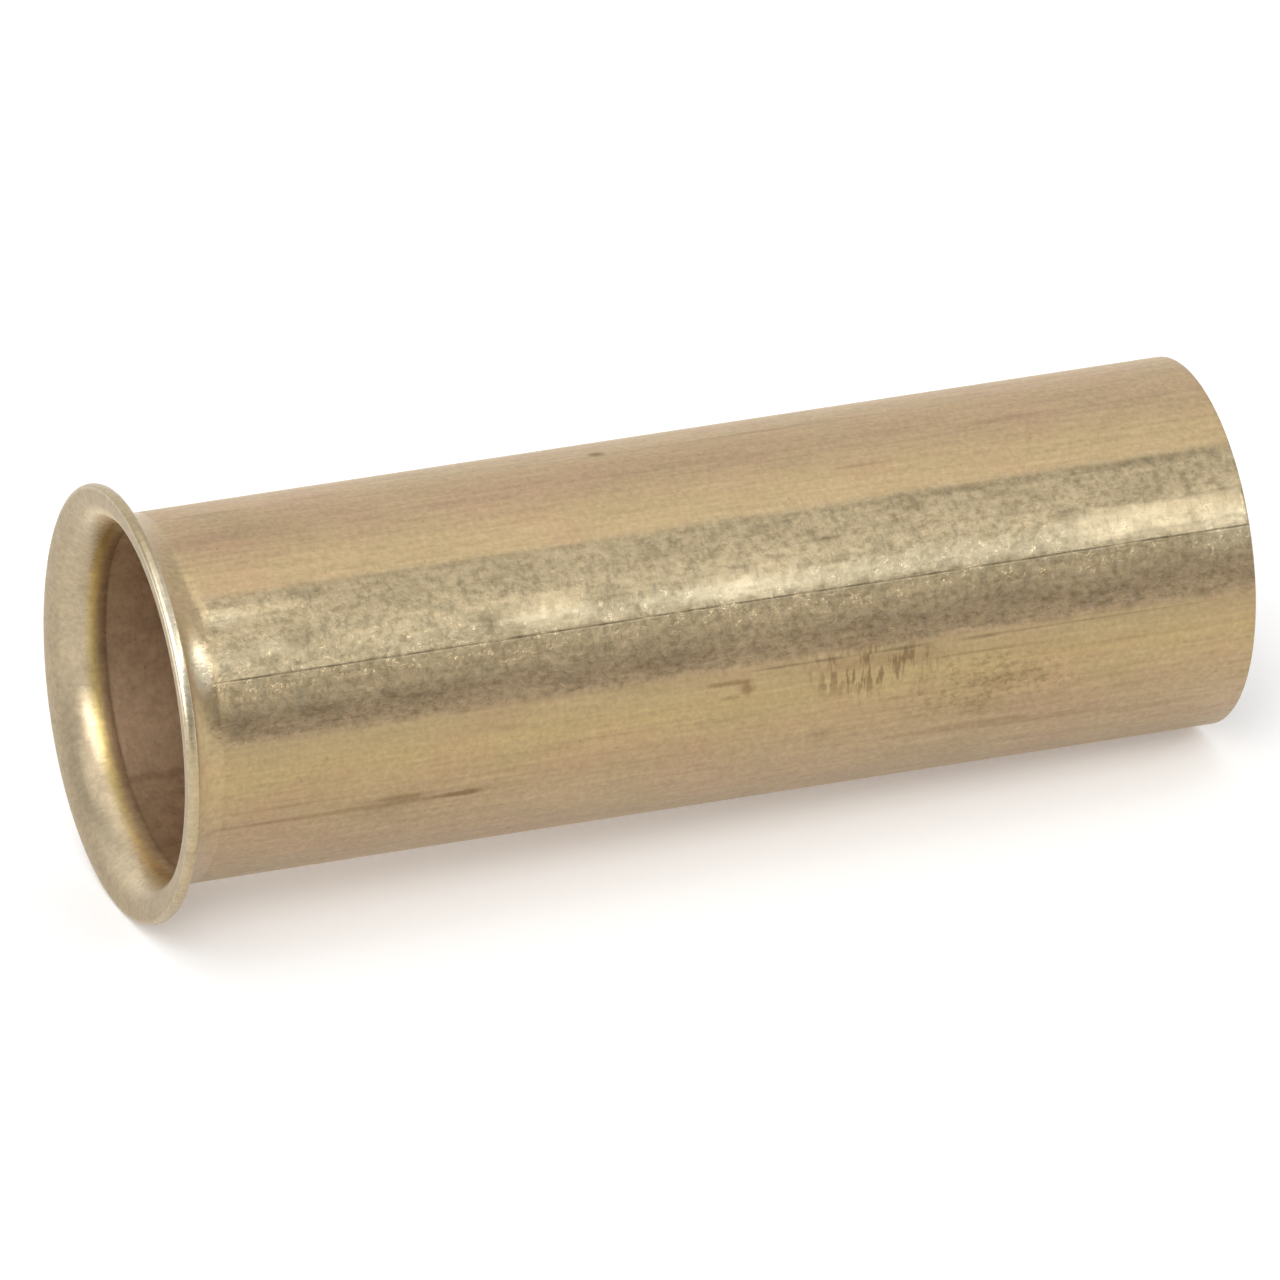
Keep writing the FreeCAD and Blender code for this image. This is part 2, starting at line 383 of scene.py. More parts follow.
class Graph:
    """Adds nodes to one tree. An input may be a number, a colour or another node's output."""

    def __init__(self, tree):
        self.tree = tree

    def add(self, kind, inputs=None, **settings):
        node = self.tree.nodes.new("ShaderNode" + kind)
        for key, value in settings.items():
            setattr(node, key, value)
        for key, value in (inputs or {}).items():
            self.feed(node.inputs[key], value)
        return node

    def feed(self, socket, value):
        if isinstance(value, bpy.types.NodeSocket):
            self.tree.links.new(value, socket)
        elif value is not None:
            socket.default_value = value

    def math(self, operation, first, second=None, third=None):
        inputs = {0: first, 1: second, 2: third}
        return self.add("Math", inputs, operation=operation).outputs[0]

    def product(self, first, *others):
        """All the values multiplied together."""
        for value in others:
            first = self.math("MULTIPLY", first, value)
        return first

    def ramp(self, value, start, end, out_start=0.0, out_end=1.0):
        """A smooth step of the value between the two limits."""
        inputs = {"Value": value, "From Min": start, "From Max": end,
                  "To Min": out_start, "To Max": out_end}
        return self.add("MapRange", inputs, interpolation_type="SMOOTHSTEP").outputs[0]

    def noise(self, place, scale, detail, roughness, distortion):
        """Fractal noise about one half. Scale is in spots for each millimetre."""
        inputs = {"Vector": place, "Scale": scale, "Detail": detail, "Roughness": roughness,
                  "Distortion": distortion}
        return self.add("TexNoise", inputs).outputs[0]

    def attribute(self, name):
        """One of the values that the mesh carries on its points."""
        return self.add("Attribute", attribute_name=name).outputs["Fac"]

    def colours(self, value, start, end, stops):
        """A row of colours over the value, each at its own place between the two limits."""
        inputs = {"Value": value, "From Min": start, "From Max": end}
        share = self.add("MapRange", inputs).outputs[0]
        node = self.add("ValToRGB", {0: share})
        band = node.color_ramp
        while len(band.elements) < len(stops):
            band.elements.new(1.0)
        for element, (where, colour) in zip(band.elements, stops):
            element.position = (where - start) / (end - start)
            element.color = (*colour, 1.0)
        return node.outputs[0]

    def stretch(self, place, x, y, z):
        """The place multiplied by a factor on each axis."""
        return self.add("VectorMath", {0: place, 1: (x, y, z)}, operation="MULTIPLY").outputs[0]

    def mix(self, factor, first, second, blend="MIX"):
        """The first colour moved by the factor towards the second, or towards their blend."""
        node = self.add("Mix", {0: factor}, data_type="RGBA", blend_type=blend)
        self.feed(node.inputs[6], first)
        self.feed(node.inputs[7], second)
        return node.outputs[2]


def new_group(name, inputs, outputs):
    """An empty node group with named sockets. Each is (name, kind, default value)."""
    tree = bpy.data.node_groups.new(name, "ShaderNodeTree")
    for label, kind, default in inputs:
        socket = tree.interface.new_socket(label, in_out="INPUT", socket_type="NodeSocket" + kind)
        if default is not None:
            socket.default_value = default
    for label, kind in outputs:
        tree.interface.new_socket(label, in_out="OUTPUT", socket_type="NodeSocket" + kind)
    graph = Graph(tree)
    source = tree.nodes.new("NodeGroupInput")
    sink = tree.nodes.new("NodeGroupOutput")
    return tree, graph, source.outputs, sink.inputs


def use_group(graph, tree, **inputs):
    """Places a group in a material, with its own values, and gives back its outputs."""
    node = graph.tree.nodes.new("ShaderNodeGroup")
    node.node_tree = tree
    for key, value in inputs.items():
        graph.feed(node.inputs[key.replace("_", " ")], value)
    return node.outputs


def describe(tree):
    """Prints how large a finished group is."""
    sockets = [item.name for item in tree.interface.items_tree]
    print("group %s: %d nodes, sockets %s" % (tree.name, len(tree.nodes), ", ".join(sockets)))


# %% [markdown]
# ## Where a point is on the tube
#
# Every mark has a place: so many millimetres along, so many degrees round from the seam. The
# first group works both out from the object's own coordinates, so that the stains can be listed
# in the numbers that a maker would read off the tube itself.

# %% Group: place on the tube


def place_group():
    """Place is (X in millimetres, degrees from the seam), from the arctangent of Z and -Y."""
    tree, graph, source, sink = new_group(
        "tube_place", [], [("Along", "Float"), ("Angle", "Float"), ("Place", "Vector"),
                           ("Point", "Vector")])
    metres = graph.add("TexCoord").outputs["Object"]
    point = graph.stretch(metres, 1 / MM, 1 / MM, 1 / MM)
    split = graph.add("SeparateXYZ", {0: point}).outputs
    forward = graph.math("MULTIPLY", split[1], -1.0)
    elevation = graph.math("DEGREES", graph.math("ARCTAN2", split[2], forward))
    angle = graph.math("SUBTRACT", elevation, SEAM_ELEVATION)
    graph.feed(sink["Along"], split[0])
    graph.feed(sink["Angle"], angle)
    graph.feed(sink["Place"], graph.add("CombineXYZ", {0: split[0], 1: angle}).outputs[0])
    graph.feed(sink["Point"], point)
    return tree


PLACE = place_group()
describe(PLACE)

# %% [markdown]
# ## Stains
#
# A stain is a soft oval with a ragged edge. Its distance from the centre, counted in half-sizes, is
# pushed about by noise and then faded from the inside out. One group does it for every stain.

# %% Group: one soft, ragged oval


def patch_group():
    """The length of (place - centre) / size, plus noise, run through a falling smooth step."""
    tree, graph, source, sink = new_group(
        "soft_patch",
        [("Place", "Vector", (0, 0, 0)), ("Noise", "Float", 0.5), ("Centre", "Vector", (0, 0, 0)),
         ("Size", "Vector", (1, 1, 1)), ("Raggedness", "Float", 1.0), ("Strength", "Float", 1.0)],
        [("Mask", "Float")])
    offset = graph.add("VectorMath", {0: source["Place"], 1: source["Centre"]},
                       operation="SUBTRACT").outputs[0]
    scaled = graph.add("VectorMath", {0: offset, 1: source["Size"]}, operation="DIVIDE").outputs[0]
    distance = graph.add("VectorMath", {0: scaled}, operation="LENGTH").outputs["Value"]
    wobble = graph.math("MULTIPLY", graph.math("SUBTRACT", source["Noise"], 0.5),
                        source["Raggedness"])
    mask = graph.ramp(graph.math("ADD", distance, wobble), 1.5, 0.3)
    graph.feed(sink["Mask"], graph.math("MULTIPLY", mask, source["Strength"]))
    return tree


PATCH = patch_group()
describe(PATCH)

# %% [markdown]
# ## Specks
#
# Pits are small round spots, here and there. Space is divided into cells, each with a random
# number of its own: a cell whose number is low enough has a spot at its centre.

# %% Group: scattered specks


def speck_group():
    """1 within Size of a cell's centre, for the Share of the cells whose random number allows it."""
    tree, graph, source, sink = new_group(
        "specks",
        [("Point", "Vector", (0, 0, 0)), ("Scale", "Float", 1.0), ("Share", "Float", 0.2),
         ("Size", "Float", 0.3)],
        [("Mask", "Float")])
    cells = graph.add("TexVoronoi", {"Vector": source["Point"], "Scale": source["Scale"]})
    number = graph.add("SeparateColor", {0: cells.outputs["Color"]}).outputs[0]
    chosen = graph.math("LESS_THAN", number, source["Share"])
    spot = graph.ramp(cells.outputs["Distance"], source["Size"],
                      graph.math("MULTIPLY", source["Size"], 0.4))
    graph.feed(sink["Mask"], graph.math("MULTIPLY", spot, chosen))
    return tree


SPECKS = speck_group()
describe(SPECKS)

# %% [markdown]
# ## The brass
#
# Brass that has been drawn, annealed and handled is not a mirror. Most of it is a pale satin gold
# that scatters light widely, browner or more olive from place to place. The dressed band beside the
# seam is smoother and greyer, because the heat and the flux have changed its skin. The colours set
# round the tube also hold painted shade and sheen: darker on the lower side and below the seam,
# lighter on the upper side and at its edge.

# %% Colours round the tube, by degrees from the seam, with painted shade and sheen
# Painted shade and sheen: darker on the lower side, lighter on the upper side and at its edge.
BRASS_ROUND_WITH_SHADE = [
    (-110, (0.56, 0.42, 0.255)), (-78, (0.465, 0.37, 0.248)), (-60, (0.475, 0.367, 0.232)),
    (-46, (0.455, 0.34, 0.198)), (-31, (0.48, 0.363, 0.184)), (-21, (0.455, 0.346, 0.19)),
    (29, (0.64, 0.485, 0.278)), (36, (0.61, 0.463, 0.265)), (50, (0.545, 0.405, 0.247)),
    (63, (0.56, 0.42, 0.255)), (69, (0.585, 0.45, 0.285)), (79, (0.61, 0.47, 0.30)),
    (86, (0.68, 0.545, 0.36)), (110, (0.58, 0.44, 0.265)),
]
# Painted shade: the band is darker below the seam.
BAND_ROUND_WITH_SHADE = [
    (-19, (0.375, 0.275, 0.165)), (-13, (0.395, 0.295, 0.178)), (-9, (0.50, 0.385, 0.235)),
    (-4, (0.58, 0.455, 0.275)), (2, (0.54, 0.44, 0.28)), (8, (0.565, 0.46, 0.29)),
    (15, (0.58, 0.465, 0.29)), (27, (0.625, 0.50, 0.31)),
]
print("colours round the tube:", len(BRASS_ROUND_WITH_SHADE), "plain,", len(BAND_ROUND_WITH_SHADE), "dressed")

# %% [markdown]
# ## Where the stains are
#
# Stains that were noise alone would all look alike. The larger ones are listed one by one instead:
# where each is along the tube and round it, its half-length and half-width, how ragged it is, and how
# strongly it tints the brass. Brown ones lie on the plain skin, grey ones on the dressed band, and
# the bright ones are painted highlights, mostly along the bright line just above the seam.

# %% Stains: along, angle, half-length, half-width, raggedness, strength
BROWN_STAINS = [
    (-29.0, -52.0, 14.0, 30.0, 1.0, 0.06),
    (-31.0, -43.8, 5.5, 0.5, 0.8, 0.22),      # fine drawing line near the flare
    (-26.0, -49.6, 11.0, 1.0, 1.2, 0.36),     # longer line below it, with two blobs
    (-22.5, -47.6, 1.9, 1.5, 1.6, 0.50),
    (-18.2, -49.6, 2.0, 1.2, 1.4, 0.60),
    (-15.0, -27.5, 1.0, 0.8, 1.4, 0.20),
    (-31.0, 50.0, 6.0, 13.0, 1.2, 0.10),
    (-31.8, 66.5, 2.4, 1.4, 1.2, 0.22),
    (-24.0, 67.0, 2.6, 0.9, 1.2, 0.14),
    (-3.8, 67.2, 0.55, 1.7, 0.6, 0.75),
    (-9.2, 66.5, 0.5, 1.2, 1.0, 0.18),
    (8.0, 65.4, 9.0, 1.1, 1.0, 0.20),
    (2.0, 54.0, 10.0, 7.0, 1.4, 0.07),
    (13.3, 39.6, 1.9, 0.6, 1.4, 0.26),
    (31.0, 39.8, 1.0, 0.8, 1.4, 0.14),
    (24.5, 50.5, 3.0, 1.0, 1.4, 0.18),
    (7.6, -48.8, 0.8, 2.6, 1.4, 0.24),
    (0.8, -24.4, 1.5, 0.9, 2.0, 0.50),        # a squiggle under the band
    (2.0, -27.0, 0.5, 2.6, 2.2, 0.55),
    (1.0, -29.3, 0.8, 0.7, 1.6, 0.35),
    (11.5, -24.5, 5.0, 2.6, 2.4, 0.26),
    (18.5, -26.5, 4.5, 0.5, 1.4, 0.30),
    (19.2, -46.0, 1.6, 3.6, 2.8, 0.22),
    (20.8, -38.0, 2.6, 2.4, 2.8, 0.20),
    (18.0, -55.0, 5.0, 1.8, 1.4, 0.26),       # broad stain that sinks towards the cut end
    (24.5, -57.0, 4.5, 1.6, 1.4, 0.22),
    (31.5, -59.0, 5.0, 1.4, 1.4, 0.16),
    (29.0, -29.8, 8.0, 0.6, 1.0, 0.15),
    (16.0, -44.8, 6.0, 0.5, 1.2, 0.13),
    (30.0, -47.0, 1.6, 1.8, 1.8, 0.16),
]
GREY_STAINS = [
    (-15.5, 2.5, 3.5, 2.5, 2.0, 0.16),
    (-23.0, -3.5, 9.0, 3.0, 2.0, 0.14),
    (24.0, 25.4, 15.5, 1.6, 1.4, 0.26),       # the band's upper edge
    (34.0, 25.0, 3.5, 1.8, 1.6, 0.20),
    (24.3, 24.5, 0.3, 2.2, 0.8, 0.25),
    (-14.0, 26.2, 13.0, 0.9, 1.4, 0.16),
    (4.6, -21.6, 1.9, 0.5, 0.7, 0.45),        # dashes along its lower edge
    (8.0, -21.6, 1.1, 0.6, 0.7, 0.40),
    (13.2, -21.6, 1.9, 0.6, 0.7, 0.50),
    (19.2, -21.8, 1.2, 0.7, 0.9, 0.35),
    (27.0, -21.6, 8.5, 0.4, 0.8, 0.26),
    (-34.4, -12.5, 1.9, 4.0, 1.6, 0.26),
    (-28.3, -12.8, 1.8, 2.4, 1.8, 0.30),
    (-31.8, -17.0, 0.7, 1.2, 1.4, 0.28),
    (-23.5, -10.0, 0.5, 4.5, 2.0, 0.18),
    (-19.5, -12.0, 4.0, 3.5, 2.2, 0.14),
    (-29.3, 10.2, 1.2, 3.4, 2.6, 0.34),
    (-33.5, 8.5, 1.5, 3.5, 2.8, 0.22),
    (-19.0, 22.2, 0.5, 1.0, 1.2, 0.32),
    (-28.0, 26.3, 7.0, 1.2, 1.4, 0.18),
    (-22.5, 18.0, 3.0, 5.0, 2.6, 0.12),
    (-15.8, 6.0, 0.8, 3.6, 1.8, 0.36),
    (-13.6, 2.7, 0.4, 0.7, 0.8, 0.40),
    (-7.2, 6.5, 1.6, 3.6, 2.8, 0.26),
    (-3.2, 21.5, 0.4, 2.4, 1.2, 0.22),
    (-3.0, -6.0, 0.4, 4.2, 1.6, 0.24),
    (-3.5, -14.5, 3.0, 2.2, 1.8, 0.24),
    (2.6, 11.0, 0.9, 0.8, 1.4, 0.34),
    (8.8, 15.8, 1.6, 0.8, 1.6, 0.36),
    (4.6, 22.0, 0.9, 1.6, 2.0, 0.26),
    (31.6, 15.5, 2.4, 4.0, 2.6, 0.22),
    (33.2, 18.0, 0.25, 4.4, 0.8, 0.34),
    (35.2, 16.5, 0.25, 3.2, 0.8, 0.28),
    (34.5, -7.0, 4.5, 3.5, 1.6, 0.16),
    (20.5, -9.0, 3.5, 3.5, 2.0, 0.12),
]
# Painted highlights: brighter colour where the light's bright line falls on the band.
PAINTED_HIGHLIGHT_STAINS = [
    (12.0, 4.0, 26.0, 3.6, 1.8, 0.23),        # painted highlight just above the seam
    (0.5, 4.8, 5.5, 2.2, 2.0, 0.24),
    (29.0, 8.0, 5.5, 3.2, 0.8, 0.12),
    (37.6, 3.0, 2.2, 3.6, 0.5, 0.20),
    (37.2, -2.5, 2.2, 4.0, 1.4, 0.20),
    (-35.2, 6.0, 2.2, 4.2, 1.6, 0.13),
    (-34.0, 19.8, 2.0, 2.6, 1.2, 0.22),
    (-31.0, 8.0, 1.6, 2.0, 1.8, 0.20),
    (-11.0, 5.6, 3.2, 1.8, 2.0, 0.24),
]
print("stains: %d brown, %d grey, %d bright"
      % (len(BROWN_STAINS), len(GREY_STAINS), len(PAINTED_HIGHLIGHT_STAINS)))

# %% [markdown]
# ## What every step of the finish needs
#
# A finish like this is easier to follow in small steps than as one large sum. All the steps need
# the same things: the place on the tube, the zones that the mesh carries, and six noises. They are
# made once, in a Finish, which is handed round. Noise that is stretched along the tube reads as
# drawing lines, and noise that is stretched across it reads as drips and scratches.

# %% Place, zones and noises


class Finish:
    """The brass's material while it is being built."""

    def __init__(self, tree):
        self.graph = Graph(tree)
        spot = use_group(self.graph, PLACE)
        self.along, self.angle = spot["Along"], spot["Angle"]
        self.place, self.point = spot["Place"], spot["Point"]
        self.on = {name: self.graph.attribute(name) for name in marks}
        self.outside = self.graph.math("SUBTRACT", 1.0, self.on["inside"])
        self.cloud = self.noise((0.6, 1, 1), 0.24, 3.0, 0.55)
        self.blotch = self.noise((1, 1, 1), 0.95, 4.0, 0.6)
        self.grain = self.noise((1, 1, 1), 2.6, 3.0, 0.65)
        self.fleck = self.noise((0.8, 1, 1), 2.1, 5.0, 0.72)
        self.lines = self.noise((0.05, 1, 1), 3.0, 2.0, 0.6)
        self.drips = self.noise((1, 0.22, 0.22), 2.6, 2.0, 0.6)

    def noise(self, squeeze, scale, detail, roughness, distortion=0.0):
        """Noise whose spots are longer on an axis where the squeeze is below 1."""
        place = self.graph.stretch(self.point, *squeeze)
        return self.graph.noise(place, scale, detail, roughness, distortion)

    def patch(self, centre, size, ragged, strength):
        """One soft oval. Its centre and half-sizes are (millimetres along, degrees round)."""
        return use_group(self.graph, PATCH, Place=self.place, Noise=self.blotch,
                         Centre=(*centre, 0), Size=(*size, 1), Raggedness=ragged,
                         Strength=strength)["Mask"]

    def off_flats(self, left):
        """1 away from the flats that dressing left, and the given share on them."""
        return self.graph.ramp(self.on["flat"], 0.0, 0.6, 1.0, left)


# %% [markdown]
# ## Where the band is
#
# The file that dressed the seam was held by hand, so the band's edges wander. Adding a little
# noise to the angle before it meets a smooth step does that. The upper edge wanders more than the
# lower one, and the band stops short of the neck.

# %% The dressed band


def wandering(finish, value, reach):
    """The value plus the reach times how far the blotchy noise is from one half."""
    shift = finish.graph.math("SUBTRACT", finish.blotch, 0.5)
    return finish.graph.math("MULTIPLY_ADD", shift, reach, value)


def past_the_neck(finish):
    """0 on the flare and 1 on the straight tube."""
    return finish.graph.ramp(wandering(finish, finish.along, 1.6), NECK - 1.3, NECK + 0.9)


def dressed_band(finish, past_neck):
    """The band's two edges multiplied, on the outside and past the neck only."""
    graph = finish.graph
    top = graph.ramp(wandering(finish, finish.angle, 4.0), BAND_HIGH + 1.3, BAND_HIGH - 3.2)
    bottom = graph.ramp(wandering(finish, finish.angle, 1.6), BAND_LOW - 1.6, BAND_LOW + 2.2)
    return graph.product(top, bottom, past_neck, finish.outside)


# %% [markdown]
# ## Colour on the outside
#
# A tarnish is a thin skin over the metal, so it works as a filter: a dark stain multiplies the brass
# by its tint. A painted highlight moves the colour towards the bright metal instead. Overlapping
# stains shouldn't add up past full strength, so what is still clear is multiplied stain by stain, and
# the tint goes on once, where it is no longer clear.

# %% Stains and the outside's colour
PINKER = (0.95, 0.91, 0.94, 1)
MURKY = (0.70, 0.71, 0.68, 1)
PITTED = (0.56, 0.54, 0.48, 1)
SCRATCHED = (0.26, 0.23, 0.17, 1)
DRIED_FLUX = (0.27, 0.185, 0.095, 1)
# The last tint is the colour of the painted highlights.
BROWN, GREY, HIGHLIGHT_PAINT = (0.42, 0.33, 0.24, 1), (0.30, 0.29, 0.26, 1), (0.98, 0.88, 0.62, 1)


def stained(finish, colour, stains, tint, blend="MULTIPLY"):
    """Clear is the product of (1 - mask) over the stains, and 1 - clear is how far to tint."""
    graph, clear = finish.graph, 1.0
    for along, angle, half_length, half_width, ragged, strength in stains:
        mask = finish.patch((along, angle), (half_length, half_width), ragged, strength)
        clear = graph.product(clear, graph.math("SUBTRACT", 1.0, mask))
    return graph.mix(graph.math("SUBTRACT", 1.0, clear), colour, tint, blend)


def plain_brass(finish):
    """The colours round the tube, with their painted shade and sheen, a little pinker under the
    clouds.
    """
    graph = finish.graph
    colour = graph.colours(finish.angle, -110, 110, BRASS_ROUND_WITH_SHADE)
    return graph.mix(graph.ramp(finish.cloud, 0.42, 0.66), colour, PINKER, "MULTIPLY")


def dressed_brass(finish):
    """The band's colours, with their painted shade below the seam, then murk, pits, scratches and
    painted highlights.
    """
    graph = finish.graph
    colour = graph.colours(finish.angle, -20, 28, BAND_ROUND_WITH_SHADE)
    murk = graph.product(graph.ramp(finish.blotch, 0.40, 0.78), finish.off_flats(0.4))
    colour = graph.mix(murk, colour, MURKY, "MULTIPLY")
    pits = graph.product(graph.ramp(finish.fleck, 0.34, 0.56, 0.62, 0.0), finish.off_flats(0.2))
    colour = graph.mix(pits, colour, PITTED, "MULTIPLY")
    scratches = graph.product(graph.ramp(finish.drips, 0.56, 0.68),
                              graph.ramp(finish.blotch, 0.4, 0.6), 0.45)
    colour = graph.mix(scratches, colour, SCRATCHED)
    # Painted highlights over the band.
    return stained(finish, colour, PAINTED_HIGHLIGHT_STAINS, HIGHLIGHT_PAINT, "MIX")


def outside_colour(finish, band):
    """Plain or dressed brass, then two runs of dried flux under the band, then the stains."""
    graph = finish.graph
    colour = graph.mix(band, plain_brass(finish), dressed_brass(finish))
    for pattern, centre, size, strength in (
            (finish.drips, (11.2, -26.5), (4.4, 9.5), 0.95),
            (finish.fleck, (19.5, -38.0), (7.0, 12.0), 0.60)):
        run = finish.patch(centre, size, 1.2, strength)
        colour = graph.mix(graph.product(run, graph.ramp(pattern, 0.47, 0.62)), colour, DRIED_FLUX)
    colour = stained(finish, colour, BROWN_STAINS, BROWN)
    return stained(finish, colour, GREY_STAINS, GREY)


# %% [markdown]
# ## Colour in the bore and the mouth
#
# The bore keeps the brown skin of the heat, with drawing lines and two thin dark ones, one of them
# under the seam. The mouth's zones go over it, from the inside out, with painted shade in the throat,
# a painted reflection in the golden ring and painted light on the bends. Handling has worn the rim
# and the neck smoother beside the seam, and their colour there is a painted highlight.

# %% Bore, mouth, worn places, painted light and shade
BORE_LINES = [     # degrees from the seam, half-width in degrees, raggedness, strength, tint
    (-156, 1.6, 0.8, 0.45, (0.34, 0.22, 0.14, 1)),
    (0, 0.8, 0.6, 0.60, (0.30, 0.20, 0.12, 1)),
]
# Painted light: paler patches on the flare's bends at the top and at the bottom.
PAINTED_LIGHT_PLACES = [(76, 23, 0.75), (-122, 26, 0.50)]     # degrees, half-width in degrees, strength
ALL_ALONG = 200.0                                    # a half-length that covers the whole tube
ROUND_THE_RIM = 60.0                                 # one that covers the flare
FACE_BRASS, RIM_BRASS = (0.45, 0.362, 0.24, 1), (0.46, 0.37, 0.23, 1)
# Painted reflection in the golden ring, and painted shade in the throat.
GOLDEN_REFLECTION, THROAT_SHADE = (0.48, 0.365, 0.15, 1), (0.37, 0.25, 0.145, 1)
# Painted light on the bends, and painted highlights on the worn rim and the rubbed neck.
PAINTED_LIGHT_TINT, WORN_RIM_HIGHLIGHT, RUBBED_NECK_HIGHLIGHT = (0.88, 0.72, 0.48, 1), (0.97, 0.86, 0.64, 1), (0.96, 0.84, 0.60, 1)
TOOL_SHADOW = (0.20, 0.13, 0.08, 1)


def bore_colour(finish):
    """Two browns mixed by the drawing lines, with the dark lines over them."""
    graph = finish.graph
    colour = graph.mix(graph.ramp(finish.lines, 0.35, 0.7), (0.61, 0.44, 0.29, 1),
                       (0.56, 0.405, 0.265, 1))
    for angle, half_width, ragged, strength, tint in BORE_LINES:
        line = finish.patch((0, angle), (ALL_ALONG, half_width), ragged, strength)
        colour = graph.mix(line, colour, tint)
    return colour


def worn_rim_and_highlight(finish):
    """A stretch of the rim, centred 13 degrees above the seam: worn smoother, and a painted highlight
    in colour.
    """
    stretch = finish.patch((FACE, 13), (ROUND_THE_RIM, 21), 0.3, 0.9)
    return finish.graph.product(stretch, finish.on["rim"])


def rubbed_neck_and_highlight(finish):
    """A short line just behind the flare, on the outside only: rubbed smoother, and a painted
    highlight in colour.
    """
    graph = finish.graph
    flare = graph.math("MAXIMUM", finish.on["face"], finish.on["rim"])
    line = finish.patch((NECK - 1.0, 6), (0.75, 8), 0.3, 0.95)
    return graph.product(line, graph.math("SUBTRACT", finish.outside, flare))


def mouth_colour(finish, colour, worn, rubbed):
    """Each zone mixed over the colour so far: bore, face, bends with painted reflection, shade and
    light, rim, worn places with painted highlights, tool line with painted shadow.
    """
    graph, on = finish.graph, finish.on
    colour = graph.mix(on["inside"], colour, bore_colour(finish))
    colour = graph.mix(on["face"], colour, FACE_BRASS)
    colour = graph.mix(on["golden"], colour, GOLDEN_REFLECTION)
    colour = graph.mix(on["throat"], colour, THROAT_SHADE)
    for middle, half_width, strength in PAINTED_LIGHT_PLACES:
        # Painted light on the bends.
        pale = finish.patch((FACE, middle), (ROUND_THE_RIM, half_width), 0.3, strength)
        colour = graph.mix(graph.product(pale, on["bends"]), colour, PAINTED_LIGHT_TINT)
    colour = graph.mix(graph.product(on["rim"], 0.8), colour, RIM_BRASS)
    # Painted highlights on the worn rim and the rubbed neck.
    colour = graph.mix(worn, colour, WORN_RIM_HIGHLIGHT)
    colour = graph.mix(rubbed, colour, RUBBED_NECK_HIGHLIGHT)
    return graph.mix(graph.product(on["tool_line"], 0.22), colour, TOOL_SHADOW)


# %% [markdown]
# ## Nicks, the seam's line and the grain
#
# The file left small bright nicks near the seam, and the seam itself is a dark hair that opens and
# closes. They and the grain only make the brass lighter or darker, so one grey value carries them
# all and multiplies the colour at the end.

# %% Light and dark


def nick_mask(finish, band):
    """High spots of a twisted noise, on the band, within a few degrees of its ridge."""
    graph = finish.graph
    chips = finish.noise((0.8, 1, 1), 2.7, 3.0, 0.6, 0.8)
    off_ridge = graph.math("ABSOLUTE", graph.math("SUBTRACT", finish.angle, 2.0))
    return graph.product(graph.ramp(chips, 0.57, 0.63), graph.ramp(finish.blotch, 0.56, 0.42),
                         band, graph.ramp(off_ridge, 14.0, 4.0), finish.off_flats(0.2))


def seam_mask(finish, past_neck):
    """A thin line at 0 degrees, stronger and weaker with a noise that changes only along X."""
    graph = finish.graph
    line = graph.ramp(graph.math("ABSOLUTE", finish.angle), 0.42, 0.10)
    opening = graph.ramp(finish.noise((1, 0, 0), 0.35, 2.0, 0.5), 0.36, 0.56, 0.12, 0.55)
    return graph.product(line, opening, finish.outside, past_neck)


def shade(finish, nick, seam):
    """1 plus each noise's weight times how far it is from one half, then nicks, pits and seam."""
    graph = finish.graph
    weights = ((finish.cloud, 0.30), (finish.grain, 0.55), (finish.lines, 0.38))
    level = 1.0 - sum(weight for noise, weight in weights) / 2
    for noise, weight in weights:
        level = graph.math("MULTIPLY_ADD", noise, weight, level)
    pit = use_group(graph, SPECKS, Point=finish.point, Scale=1.1, Share=0.10, Size=0.16)["Mask"]
    return graph.product(level, graph.ramp(nick, 0.0, 1.0, 1.0, 1.42),
                         graph.ramp(pit, 0.0, 1.0, 1.0, 0.80),
                         graph.math("SUBTRACT", 1.0, seam))


# %% [markdown]
# ## Satin and relief
#
# How a metal shines matters more than its colour. The plain skin scatters light widely, the band
# is smoother, and whatever a tool or a finger has rubbed is smoother still. A Bump node carries
# only the grain, which is finer than the mesh.

# %% Roughness and relief
GRAIN_DEPTH = 0.03 * MM


def roughness(finish, band, nick, worn, rubbed):
    """The skin's roughness, less a share of each smoother place."""
    graph, on = finish.graph, finish.on
    rough = graph.math("ADD", graph.ramp(band, 0.0, 1.0, 0.52, 0.35),
                       graph.ramp(finish.blotch, 0.3, 0.7, -0.03, 0.05))
    for mask, smoother in ((on["burnished"], 0.24), (on["rim"], 0.24), (on["neck"], 0.20),
                           (on["flat"], 0.06), (worn, 0.06), (rubbed, 0.08), (nick, 0.08)):
        rough = graph.math("MULTIPLY_ADD", mask, -smoother, rough)
    return rough


def relief(finish, band, nick):
    """A coarse skin on the band, plus fine grain and drawing lines everywhere, less the nicks."""
    graph = finish.graph
    coarse = graph.math("MULTIPLY_ADD", finish.fleck, 1.8, graph.product(finish.blotch, 1.4))
    height = graph.product(coarse, band, finish.off_flats(0.15))
    fine = graph.ramp(finish.on["burnished"], 0.0, 1.0, 0.5, 0.12)
    for texture, weight in ((finish.grain, fine), (finish.lines, 0.3), (nick, -0.4)):
        height = graph.math("MULTIPLY_ADD", texture, weight, height)
    return height


# %% [markdown]
# ## The material
#
# The steps meet in one metal shader. Metallic is the same all over, so it is set on the shader's
# own socket, and only colour, roughness and the normal are linked.

# %% Drawn brass


